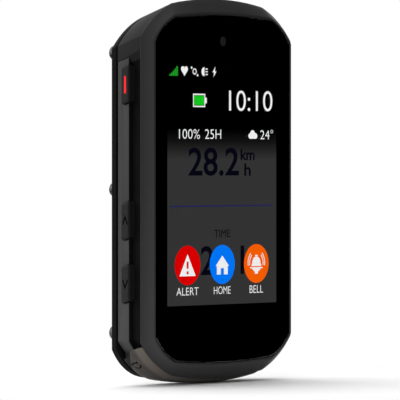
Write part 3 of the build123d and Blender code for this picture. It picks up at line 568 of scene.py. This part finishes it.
class ShellSettings(bpy.types.PropertyGroup):
    """Colours and edge rounding of the shells and buttons."""

    bezel_colour: colour_property("Bezel", "Sloped front bezel's colour", (0.03, 0.03, 0.0305))
    housing_colour: colour_property("Housing", "Middle housing's colour", (0.018, 0.018, 0.0185))
    trim_colour: colour_property("Side trim", "Inlaid side trims' colour", (0.036, 0.036, 0.0365))
    cover_colour: colour_property("Rear cover", "Rear cover's colour", (0.0045, 0.0045, 0.0048))
    button_colour: colour_property("Side buttons", "Side buttons' colour", (0.011, 0.011, 0.0115))
    smoke_colour: colour_property("Bottom buttons", "Smoky buttons' tint", (0.036, 0.031, 0.027))
    power_colour: colour_property("Power mark", "Power mark's colour", (0.78, 0.006, 0.012))
    edge_round: length_property("Edge rounding", "Rounding of the shells' hard edges", 0.00022)


class ScreenSettings(bpy.types.PropertyGroup):
    """The lit page's size, colours and readings."""

    lit_width: length_property("Lit width", "Width of the lit page", 0.03936)
    lit_height: length_property("Lit height", "Height of the lit page", 0.0562)
    fade_low: length_property("Fade start", "Height where the page starts to darken", 0.0067)
    fade_high: length_property("Fade end", "Height where the page is black", 0.0137)
    page_colour: colour_property("Page", "Grey of the lit page", (0.0395, 0.0395, 0.0395))
    ink_colour: colour_property("Readings", "Colour of the dark readings", (0.0022, 0.0022, 0.007))
    divider_colour: colour_property("Divider", "Colour of the page's divider", (0.012, 0.016, 0.13))
    white_colour: colour_property("Icons", "Colour of the light icons", (0.95, 0.95, 0.95))
    signal_colour: colour_property("Signal", "Green of the signal bars", (0.014, 0.36, 0.022))
    charge_colour: colour_property("Charge", "Green of the battery's charge", (0.008, 0.62, 0.016))
    alert_colour: colour_property("Alert", "Red of the alert shortcut", (0.76, 0.0, 0.0))
    home_colour: colour_property("Home", "Blue of the home shortcut", (0.0, 0.195, 1.0))
    bell_colour: colour_property("Bell", "Orange of the bell shortcut", (1.0, 0.122, 0.0))
    clock: StringProperty(name="Clock", description="Time of day", default="10:10")
    speed: StringProperty(name="Speed", description="Speed reading", default="28.2")
    timer: StringProperty(name="Timer", description="Ride time reading", default="25:15")


class StudioSettings(bpy.types.PropertyGroup):
    """Lights, floor and camera."""

    lens: FloatProperty(name="Lens", description="Focal length", default=379.6, unit="CAMERA")
    distance: length_property("Camera distance", "Camera to the middle of the glass", 0.968)
    turn: angle_property("Camera turn", "Turn to the left of the front", 50.3)
    rise: length_property("Camera rise", "Camera above the object's middle", 0.0061)
    aim_left: length_property("Aim left", "Camera's aim to the left of the middle", 0.0056)
    aim_down: angle_property("Aim down", "Camera's tilt below the level", 0.509)
    side_power: power_property("Side light", "Left softbox", 1.5)
    front_power: power_property("Front light", "Front softbox", 4.0)
    back_power: power_property("Back light", "Rear softbox", 1.0)
    top_power: FloatProperty(name="Top light", description="Overhead light's strength", default=3.7)
    top_tilt: angle_property("Top tilt", "Lean of the overhead light to the rear", 36)
    top_spread: angle_property("Top spread", "Width of the overhead light in the sky", 110)
    floor_radius: length_property("Floor radius", "Radius of the round floor", 0.08)
    ambient: FloatProperty(name="Ambient", description="Room light on the object", default=0.06)
    floor_colour: colour_property("Floor", "Colour of the pale floor", (0.92, 0.92, 0.92))


def shell():
    return bpy.context.scene.cycling_shell


def screen():
    return bpy.context.scene.cycling_screen


def studio():
    return bpy.context.scene.cycling_studio


# ---- Pieces ----------------------------------------------------------------------------------
class CYCLING_OT_stage(bpy.types.Operator):
    """Set the pale floor, the softboxes and the camera"""

    bl_idname = "cycling.stage"
    bl_label = "Studio"

    side_place, side_size = (-0.55, 0.42, 0.10), (0.5, 0.7)
    front_place, front_size = (-0.60, -0.30, 0.10), (0.3, 0.5)
    back_place, back_size = (0.75, 0.3, 0.3), (0.5, 0.5)
    floor_gap = 0.00002
    floor_sides = 96
    sensor_width = 36  # millimetres
    near, far = 0.01, 20

    def execute(self, context):
        context.scene.view_settings.view_transform = "Standard"
        self.set_floor()
        self.set_surround(context.scene)
        self.set_lights()
        self.set_camera(context.scene)
        return {"FINISHED"}

    def set_floor(self):
        """A round white floor just under the object."""
        settings = studio()
        height = CAD_BOX[0][2] - self.floor_gap
        rim = arc((0, 0), settings.floor_radius, steps=self.floor_sides)
        mesh = bpy.data.meshes.new("floor")
        mesh.from_pydata([(x, y, height) for x, y in rim], [], [tuple(range(len(rim)))])
        floor = show("floor", mesh)
        finish = Finish("studio_floor", Roughness=0.85, Specular_IOR_Level=0.1)
        mottle = finish.noise(size=0.4, detail=2)
        colour = tuple(settings.floor_colour)
        finish.set("Base Color", finish.blend(mottle, tint(colour, 0.99), colour))
        give(floor, finish.material)

    def set_surround(self, scene):
        """A surround that is white to the camera and lights the object faintly from behind."""
        world = bpy.data.worlds.new("studio")
        world.use_nodes = True
        tree = world.node_tree
        tree.nodes.clear()
        seen = tree.nodes.new("ShaderNodeBackground")
        felt = tree.nodes.new("ShaderNodeBackground")
        for background in (seen, felt):
            background.inputs["Color"].default_value = (1, 1, 1, 1)
        seen.inputs["Strength"].default_value = 1.0
        direction = tree.nodes.new("ShaderNodeTexCoord")
        parts = tree.nodes.new("ShaderNodeSeparateXYZ")
        tree.links.new(direction.outputs["Generated"], parts.inputs[0])
        behind = Signal(tree, parts.outputs["Y"]).above(level=0.1, softness=0.5)
        tree.links.new((behind * studio().ambient).socket, felt.inputs["Strength"])
        choice = tree.nodes.new("ShaderNodeMixShader")
        path = tree.nodes.new("ShaderNodeLightPath")
        output = tree.nodes.new("ShaderNodeOutputWorld")
        tree.links.new(path.outputs["Is Camera Ray"], choice.inputs["Fac"])
        tree.links.new(felt.outputs[0], choice.inputs[1])
        tree.links.new(seen.outputs[0], choice.inputs[2])
        tree.links.new(choice.outputs[0], output.inputs["Surface"])
        scene.world = world

    def softbox(self, name, place, size, power):
        """A square light that faces the object's middle."""
        lamp = bpy.data.lights.new(name, "AREA")
        lamp.shape = "RECTANGLE"
        lamp.size, lamp.size_y = size
        lamp.energy = power
        box = show(name, lamp)
        box.location = place
        low, high = CAD_BOX
        middle = Vector((0, (low[1] + high[1]) / 2, 0))
        box.rotation_euler = (middle - Vector(place)).to_track_quat("-Z", "Y").to_euler()
        return box

    def set_lights(self):
        """Three softboxes and a broad light overhead."""
        settings = studio()
        self.softbox("side_softbox", self.side_place, self.side_size, settings.side_power)
        front = self.softbox(
            "front_softbox", self.front_place, self.front_size, settings.front_power
        )
        # Without these two lines it shows in the glass as a white patch.
        front.visible_glossy = False
        front.visible_transmission = False
        self.softbox("back_softbox", self.back_place, self.back_size, settings.back_power)
        sun = bpy.data.lights.new("overhead", "SUN")
        sun.energy = settings.top_power
        sun.angle = settings.top_spread
        show("overhead", sun).rotation_euler.x = -settings.top_tilt

    def set_camera(self, scene):
        """A camera to the left of the front, level with the object's middle."""
        settings = studio()
        lens = bpy.data.cameras.new("camera")
        lens.lens = settings.lens
        lens.sensor_width = self.sensor_width
        lens.clip_start, lens.clip_end = self.near, self.far
        camera = show("camera", lens)
        away = Vector((-math.sin(settings.turn), -math.cos(settings.turn), 0))
        rightward = Vector((math.cos(settings.turn), -math.sin(settings.turn), 0))
        glass = Vector((0, CAD_BOX[0][1], 0))
        camera.location = glass + away * settings.distance + Vector((0, 0, settings.rise))
        drop = settings.distance * math.tan(settings.aim_down)
        aim = glass - rightward * settings.aim_left + Vector((0, 0, settings.rise - drop))
        camera.rotation_euler = (aim - camera.location).to_track_quat("-Z", "Y").to_euler()
        scene.camera = camera


class CYCLING_OT_bezel(bpy.types.Operator):
    """Finish the sloped bezel and the middle housing behind it"""

    bl_idname = "cycling.bezel"
    bl_label = "Bezel and Housing"

    # Painted light and shade on the slope, lighter towards the lip and darker towards the rear
    # edge: place and width of the change, then the tint's strength in front of it and behind it.
    slope_painted_light = (-0.0154, 0.0024, 1.4, 0.75)

    def execute(self, context):
        settings = shell()
        bezel = shared(
            moulded, "bezel_satin", tuple(settings.bezel_colour), 0.5, 0.1, fade=self.slope_painted_light
        )
        housing = shared(moulded, "housing_satin", tuple(settings.housing_colour), 0.66, 0.04)
        soften("front_bezel", bezel, settings.edge_round)
        soften("mid_housing", housing, settings.edge_round * 0.7)
        return {"FINISHED"}


class CYCLING_OT_glass(bpy.types.Operator):
    """Finish the cover glass and lay its printed black border under it"""

    bl_idname = "cycling.glass"
    bl_label = "Cover Glass"

    border_gap, border_thickness = 0.00003, 0.000034
    wall_outer, wall_inner, wall_thickness = 1.0035, 1.0012, 0.00062
    window_margin, sensor_radius = 0.02, 1.1  # millimetres

    def execute(self, context):
        dress(["cover_glass"], shared(clear_glass, "hard_glass"))
        glass_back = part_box("cover_glass")[1][1]
        ink = shared(printed, "border_ink", (0.0001, 0.0001, 0.0001), roughness=0.6, gloss=0.0)
        outline = self.outline()
        border = pierced(
            "glass_border_print",
            outline,
            [self.window(), self.sensor_hole()],
            glass_back + self.border_gap,
            self.border_thickness,
            ink,
        )
        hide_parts("touch_panel")
        outer, inner = [
            [(x * scale, z * scale) for x, z in outline]
            for scale in (self.wall_outer, self.wall_inner)
        ]
        pierced(
            "glass_edge_print",
            outer,
            [inner],
            glass_back,
            self.wall_thickness,
            ink,
        )
        return {"FINISHED"}

    def outline(self):
        """The rim of the glass's back face, in order round the middle, in millimetres."""
        mesh = NODES["cover_glass"].data
        back = max(vertex.co.y for vertex in mesh.vertices)
        rim = {}
        for vertex in mesh.vertices:
            if back - vertex.co.y < SAME_LEVEL:
                turn = math.atan2(vertex.co.z, vertex.co.x)
                rim[round(turn, 4)] = (vertex.co.x / MM, vertex.co.z / MM)
        return [rim[turn] for turn in sorted(rim)]

    def window(self):
        """The opening that the lit page shows through."""
        half = screen().lit_width / 2 / MM + self.window_margin
        foot, head = page_range()
        return rectangle((-half, half), (foot - self.window_margin, head + self.window_margin))

    def sensor_hole(self):
        """The round opening in front of the light pipe."""
        low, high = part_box("light_pipe")
        middle = (low[2] + high[2]) / 2 / MM
        return arc((0, middle), self.sensor_radius, steps=32)


class CYCLING_OT_sides(bpy.types.Operator):
    """Finish the inlaid side trims and the rubber strips in the side channels"""

    bl_idname = "cycling.sides"
    bl_label = "Side Inlays"

    # Painted shade on the trim's front edge, which is tinted nearly black: place and width of the
    # change, then the tint's strength in front of it and behind it.
    edge_painted_shade = (-0.01034, 0.00012, 0.15, 1.0)

    def execute(self, context):
        settings = shell()
        trim = shared(
            moulded, "trim_satin", tuple(settings.trim_colour), 0.5, fade=self.edge_painted_shade
        )
        black = shared(rubber, "strip_rubber", (0.0032, 0.0032, 0.0035))
        for side in ("left", "right"):
            soften(side + "_side_trim", trim, settings.edge_round * 0.5)
            soften(side + "_side_strip", black, settings.edge_round * 0.4)
        return {"FINISHED"}


class CYCLING_OT_side_buttons(bpy.types.Operator):
    """Finish the five side buttons with their marks and seals"""

    bl_idname = "cycling.side_buttons"
    bl_label = "Side Buttons"

    def execute(self, context):
        settings = shell()
        body = shared(moulded, "button_satin", tuple(settings.button_colour), 0.5, 0.12)
        plain = ("up", "down", "enter", "back")
        every = ("power", *plain)
        dress([name + "_button" for name in every], body)
        dress(["power_mark"], shared(printed, "power_red", tuple(settings.power_colour), 0.35))
        dress([name + "_mark" for name in plain], mark_ink())
        dress([name + "_seal" for name in every], seal_rubber())
        return {"FINISHED"}


class CYCLING_OT_bottom_buttons(bpy.types.Operator):
    """Finish the smoky buttons round the bottom corners"""

    bl_idname = "cycling.bottom_buttons"
    bl_label = "Bottom Buttons"

    def execute(self, context):
        settings = shell()
        smoke = shared(smoky, "smoky_resin", tuple(settings.smoke_colour))
        for name in ("lap", "start_stop"):
            soften(name + "_button", smoke, settings.edge_round)
        dress(["lap_mark", "start_stop_mark"], mark_ink())
        dress(["lap_seal", "start_stop_seal"], seal_rubber())
        return {"FINISHED"}


class CYCLING_OT_rear(bpy.types.Operator):
    """Finish the rear cover, its gasket, flap, mount, screws and tether bar"""

    bl_idname = "cycling.rear"
    bl_label = "Rear"

    def execute(self, context):
        settings = shell()
        colour = tuple(settings.cover_colour)
        cover = shared(moulded, "cover_grain", colour, 0.66, 0.05, grain=0.0003, depth=0.000012)
        soften("rear_cover", cover, settings.edge_round * 0.6)
        colour = (0.012, 0.012, 0.0125)
        mount = shared(moulded, "mount_nylon", colour, 0.6, grain=0.0002, depth=0.000006)
        soften("quarter_turn_mount", mount, settings.edge_round)
        dress(["housing_gasket"], seal_rubber())
        dress(["port_cap"], shared(rubber, "flap_rubber", (0.014, 0.014, 0.015), 0.7))
        screw = shared(metal, "black_oxide", (0.09, 0.09, 0.094), 0.36)
        dress(["rear_screws", "mount_screws", "board_screws", "tether_bar"], screw)
        return {"FINISHED"}


class CYCLING_OT_inside(bpy.types.Operator):
    """Finish the pieces inside the housing"""

    bl_idname = "cycling.inside"
    bl_label = "Inner Pieces"

    def execute(self, context):
        steel = shared(metal, "can_steel", (0.62, 0.62, 0.64), 0.3, streak=(1, 1, 0.08))
        dress(["shield_cans", "usb_port", "display_frame", "speaker_mesh"], steel)
        dress(["display_panel"], shared(printed, "panel_black", (0.004, 0.004, 0.005), 0.25))
        dress(["backlight"], shared(printed, "guide_film", (0.5, 0.52, 0.55), 0.3))
        dress(["glass_adhesive"], shared(rubber, "adhesive_foam", (0.006, 0.006, 0.006)))
        # The light pipe gets a faint painted glow from the pixel finish; it is no lamp.
        dress(["light_pipe"], shared(lit, "sensor_guide", (0.012, 0.012, 0.013)))
        boards = ["main_board", "left_switch_board", "right_switch_board", "bottom_switch_board"]
        green_mask = shared(circuit, "solder_mask", (0.004, 0.03, 0.016), (0.03, 0.10, 0.05))
        dress(boards, green_mask)
        amber_film = shared(circuit, "amber_flex", (0.42, 0.17, 0.02), (0.62, 0.3, 0.08))
        dress(["display_flex"], amber_film)
        nylon = shared(moulded, "black_nylon", (0.02, 0.02, 0.02), 0.45)
        dress(["left_switches", "right_switches", "bottom_switches"], nylon)
        dress(["battery_connector", "usb_tongue", "speaker"], nylon)
        dress(["battery"], shared(metal, "pouch_foil", (0.55, 0.56, 0.58), 0.35))
        dress(["gnss_antenna"], shared(printed, "antenna_ceramic", (0.6, 0.53, 0.4), 0.4))
        dress(["vent_membrane"], shared(rubber, "membrane_white", (0.7, 0.7, 0.7), 0.85))
        return {"FINISHED"}


class CYCLING_OT_page(bpy.types.Operator):
    """Light the display's page behind the glass"""

    bl_idname = "cycling.page"
    bl_label = "Lit Page"

    def execute(self, context):
        page = screen()
        colour = tuple(page.page_colour)
        glow = shared(lit_page, "page_glow", colour, page.fade_low, page.fade_high)
        half = page.lit_width / 2 / MM
        flat_piece("lit_page", [rectangle((-half, half), page_range())], 0, glow)
        return {"FINISHED"}


class CYCLING_OT_status(bpy.types.Operator):
    """Draw the status row: signal, heart, sensor, lamp and charge icons"""

    bl_idname = "cycling.status"
    bl_label = "Status Row"

    foot, head = 25.75, 27.95  # millimetres, like every number of the icons
    middle = (foot + head) / 2

    def execute(self, context):
        white = white_pixels()
        self.signal(shared(lit, "signal_pixels", tuple(screen().signal_colour)))
        self.heart(white)
        self.sensor(white)
        self.lamp(white)
        self.bolt(white)
        return {"FINISHED"}

    def signal(self, material):
        """Five bars that rise to the right."""
        left, pitch, count = -18.75, 0.62, 5
        bar_width = pitch * 0.84
        lowest, bend = 0.16, 1.25
        bars = []
        for index in range(count):
            x = left + pitch * index
            share = lowest + (1 - lowest) * (index / (count - 1)) ** bend
            top = self.foot + (self.head - self.foot) * share
            bars.append(rectangle((x, x + bar_width), (self.foot, top)))
        flat_piece("status_signal", bars, 1, material)

    def heart(self, material):
        """Two round lobes over a point."""
        x, half, radius = -13.42, 0.57, 0.64
        z = self.head - 0.62
        left = arc((x - half, z), radius, 0, 205, 14)
        right = arc((x + half, z), radius, -25, 180, 14)
        flat_piece("status_heart", [right + left + [(x, self.foot)]], 1, material)

    def sensor(self, material):
        """A ring with a round end at two of its corners."""
        x, z = -9.85, self.middle
        outer, inner = (arc((x, z), radius, steps=24) for radius in (0.72, 0.44))
        pierced("status_sensor_ring", outer, [inner], layer(1), LAYER, material)
        ends = [arc((x + side * 1.05, z - side * 0.85), 0.3, steps=8) for side in (-1, 1)]
        flat_piece("status_sensor_ends", ends, 1, material)

    def lamp(self, material):
        """A half disc with three short rays."""
        x, radius = -6.35, 1.05
        shapes = [arc((x, self.middle), radius, 90, 270, 20)]
        for step in (-1, 0, 1):
            z = self.middle + step * 0.62
            shapes.append(rectangle((x + 0.35, x + 1.15), (z - 0.13, z + 0.13)))
        flat_piece("status_lamp", shapes, 1, material)

    def bolt(self, material):
        """Two wedges that overlap, each the other turned over."""
        x, z = -2.8, self.middle
        reach = self.head - z + 0.1
        wedge = [(0.35, reach), (-0.75, -0.15), (0.1, -0.05)]
        for name, level, side in (("upper", 1, 1), ("lower", 2, -1)):
            outline = [(x + side * across, z + side * up) for across, up in wedge]
            flat_piece("status_bolt_" + name, [outline], level, material)


class CYCLING_OT_readings(bpy.types.Operator):
    """Draw the battery icon, the clock, the small figures and the two large readings"""

    bl_idname = "cycling.readings"
    bl_label = "Readings"

    # Rows of figures, foot and head in millimetres, and the letters' weights.
    clock_row, small_row, label_row = (18.0, 22.7), (11.5, 13.7), (-11.05, -9.3)
    speed_row, timer_row = (3.05, 9.5), (-19.7, -13.0)
    slight, thin, bold = -0.004, -0.008, 0.015

    def execute(self, context):
        page = screen()
        white = white_pixels()
        ink = shared(lit, "ink_pixels", tuple(page.ink_colour))
        self.battery(white, shared(lit, "charge_pixels", tuple(page.charge_colour)))
        lettering("clock_digits", page.clock, (2.45, 18.25), self.clock_row, white, self.slight)
        lettering("charge_digits", "100%", (-15.35, -7.95), self.small_row, white, self.thin)
        lettering("hours_digits", "25H", (-6.15, -0.4), self.small_row, white, self.thin)
        self.cloud(white)
        lettering("temperature_digits", "24°", (13.8, 18.5), self.small_row, white, self.thin)
        lettering("speed_digits", page.speed, (-12.0, 6.0), self.speed_row, ink, self.bold)
        lettering("speed_unit_upper", "km", (6.6, 11.7), (6.65, 9.25), ink)
        lettering("speed_unit_lower", "h", (7.95, 10.3), (3.05, 5.9), ink)
        blue = shared(lit, "divider_pixels", tuple(page.divider_colour))
        flat_piece("page_divider", [rectangle((-18.7, 18.35), (-3.95, -3.72))], 1, blue)
        lettering("timer_label", "TIME", (-2.9, 2.9), self.label_row, ink, 0.0)
        lettering("timer_digits", page.timer, (-7.7, 14.5), self.timer_row, ink, self.bold)
        return {"FINISHED"}

    def battery(self, white, green):
        """A case with a tip at its right, and the charge in it."""
        left, right, foot, head = -10.4, -6.1, 18.75, 21.8
        wall, inset = 0.3, 0.42

        def within(margin):
            return rectangle((left + margin, right - margin), (foot + margin, head - margin))

        pierced("battery_outline", within(0), [within(wall)], layer(1), LAYER, white)
        middle = (foot + head) / 2
        tip = rectangle((right, right + 0.55), (middle - 0.65, middle + 0.65))
        flat_piece("battery_tip", [tip], 1, white)
        flat_piece("battery_charge", [within(inset)], 2, green)

    def cloud(self, white):
        """Three rounded humps over a flat foot."""
        left, foot = 9.5, self.small_row[0]
        outline = [(left + 0.5, foot + 0.1)]
        outline += arc((left + 0.55, foot + 0.75), 0.6, 250, 110, 10)
        outline += arc((left + 1.45, foot + 1.25), 0.85, 165, 20, 12)
        outline += arc((left + 2.55, foot + 0.75), 0.65, 60, -90, 10)
        flat_piece("weather_cloud", [outline], 1, white)


class CYCLING_OT_shortcuts(bpy.types.Operator):
    """Draw the three round shortcuts along the page's foot"""

    bl_idname = "cycling.shortcuts"
    bl_label = "Shortcuts"

    pitch, height, radius = 12.35, -17.3, 4.5  # millimetres
    label_row = (-24.1, -22.35)
    label_halves = {"alert": 3.9, "home": 3.0, "bell": 2.45}
    label_weight = -0.008

    def execute(self, context):
        page = screen()
        white = white_pixels()
        colours = {"alert": page.alert_colour, "home": page.home_colour, "bell": page.bell_colour}
        for index, (name, colour) in enumerate(colours.items()):
            x, z = (index - 1) * self.pitch, self.height
            disc = shared(lit, name + "_pixels", tuple(colour))
            flat_piece(name + "_disc", [arc((x, z), self.radius, steps=72)], 3, disc)
            getattr(self, name)(x, z, white, disc)
            half = self.label_halves[name]
            label, span = name + "_label", (x - half, x + half)
            lettering(label, name.upper(), span, self.label_row, white, self.label_weight)
        return {"FINISHED"}

    def alert(self, x, z, white, disc):
        """A triangle with an exclamation mark."""
        sign = [(x - 2.85, z - 2.45), (x + 2.85, z - 2.45), (x, z + 2.55)]
        flat_piece("alert_sign", [sign], 4, white)
        stroke = (x - 0.33, x + 0.33)
        strokes = [rectangle(stroke, (z - 0.75, z + 0.85)), rectangle(stroke, (z - 2.0, z - 1.35))]
        flat_piece("alert_stroke", strokes, 5, disc)

    def home(self, x, z, white, disc):
        """A house with a door."""
        roof = [(x - 2.4, z - 0.35), (x + 2.4, z - 0.35), (x, z + 2.05)]
        walls = rectangle((x - 1.95, x + 1.95), (z - 2.3, z - 0.35))
        flat_piece("home_house", [roof, walls], 4, white)
        door = rectangle((x - 0.55, x + 0.55), (z - 2.35, z - 0.85))
        flat_piece("home_door", [door], 5, disc)

    def bell(self, x, z, white, disc):
        """A bell whose foot spreads in steps, with two waves on each side."""
        middle = (x, z + 0.15)
        dome = [(x - 1.85, z - 0.6), (x + 1.85, z - 0.6)] + arc(middle, 1.5, 0, 180, 20)
        knob = rectangle((x - 0.5, x + 0.5), (z + 1.72, z + 2.0))
        shapes = [dome, knob]
        upper = -0.85
        for lower, half in ((-1.12, 2.3), (-1.47, 1.45), (-1.82, 1.0), (-2.37, 0.55)):
            shapes.append(rectangle((x - half, x + half), (z + lower, z + upper)))
            upper = lower
        flat_piece("bell_shape", shapes, 4, white)
        half_width, sweep = 0.12, 60
        for side, start in (("right", -12), ("left", 132)):
            for radius in (2.45, 3.05):
                outer = arc(middle, radius + half_width, start, start + sweep, 12)
                inner = arc(middle, radius - half_width, start + sweep, start, 12)
                name = f"bell_wave_{side}_{round(radius * 100)}"
                flat_piece(name, [outer + inner], 4, white)


STEPS = (
    CYCLING_OT_stage,
    CYCLING_OT_bezel,
    CYCLING_OT_glass,
    CYCLING_OT_sides,
    CYCLING_OT_side_buttons,
    CYCLING_OT_bottom_buttons,
    CYCLING_OT_rear,
    CYCLING_OT_inside,
    CYCLING_OT_page,
    CYCLING_OT_status,
    CYCLING_OT_readings,
    CYCLING_OT_shortcuts,
)
GROUPS = {
    "cycling_shell": ShellSettings,
    "cycling_screen": ScreenSettings,
    "cycling_studio": StudioSettings,
}


class CYCLING_PT_panel(bpy.types.Panel):
    """Sidebar panel with the steps and their settings"""

    bl_idname = "CYCLING_PT_panel"
    bl_label = "Cycling Computer"
    bl_space_type = "VIEW_3D"
    bl_region_type = "UI"
    bl_category = "Cycling Computer"

    def draw(self, context):
        layout = self.layout
        for step in STEPS:
            layout.operator(step.bl_idname)
        for name, group in GROUPS.items():
            box = layout.box()
            box.label(text=group.__doc__)
            for field in group.__annotations__:
                box.prop(getattr(context.scene, name), field)


CLASSES = (*GROUPS.values(), *STEPS, CYCLING_PT_panel)


def register():
    for item in CLASSES:
        bpy.utils.register_class(item)
    for name, group in GROUPS.items():
        setattr(bpy.types.Scene, name, PointerProperty(type=group))


def unregister():
    for name in GROUPS:
        delattr(bpy.types.Scene, name)
    for item in reversed(CLASSES):
        bpy.utils.unregister_class(item)


def main():
    register()
    for step in STEPS:
        family, action = step.bl_idname.split(".")
        getattr(getattr(bpy.ops, family), action)()


if __name__ == "__main__":
    main()
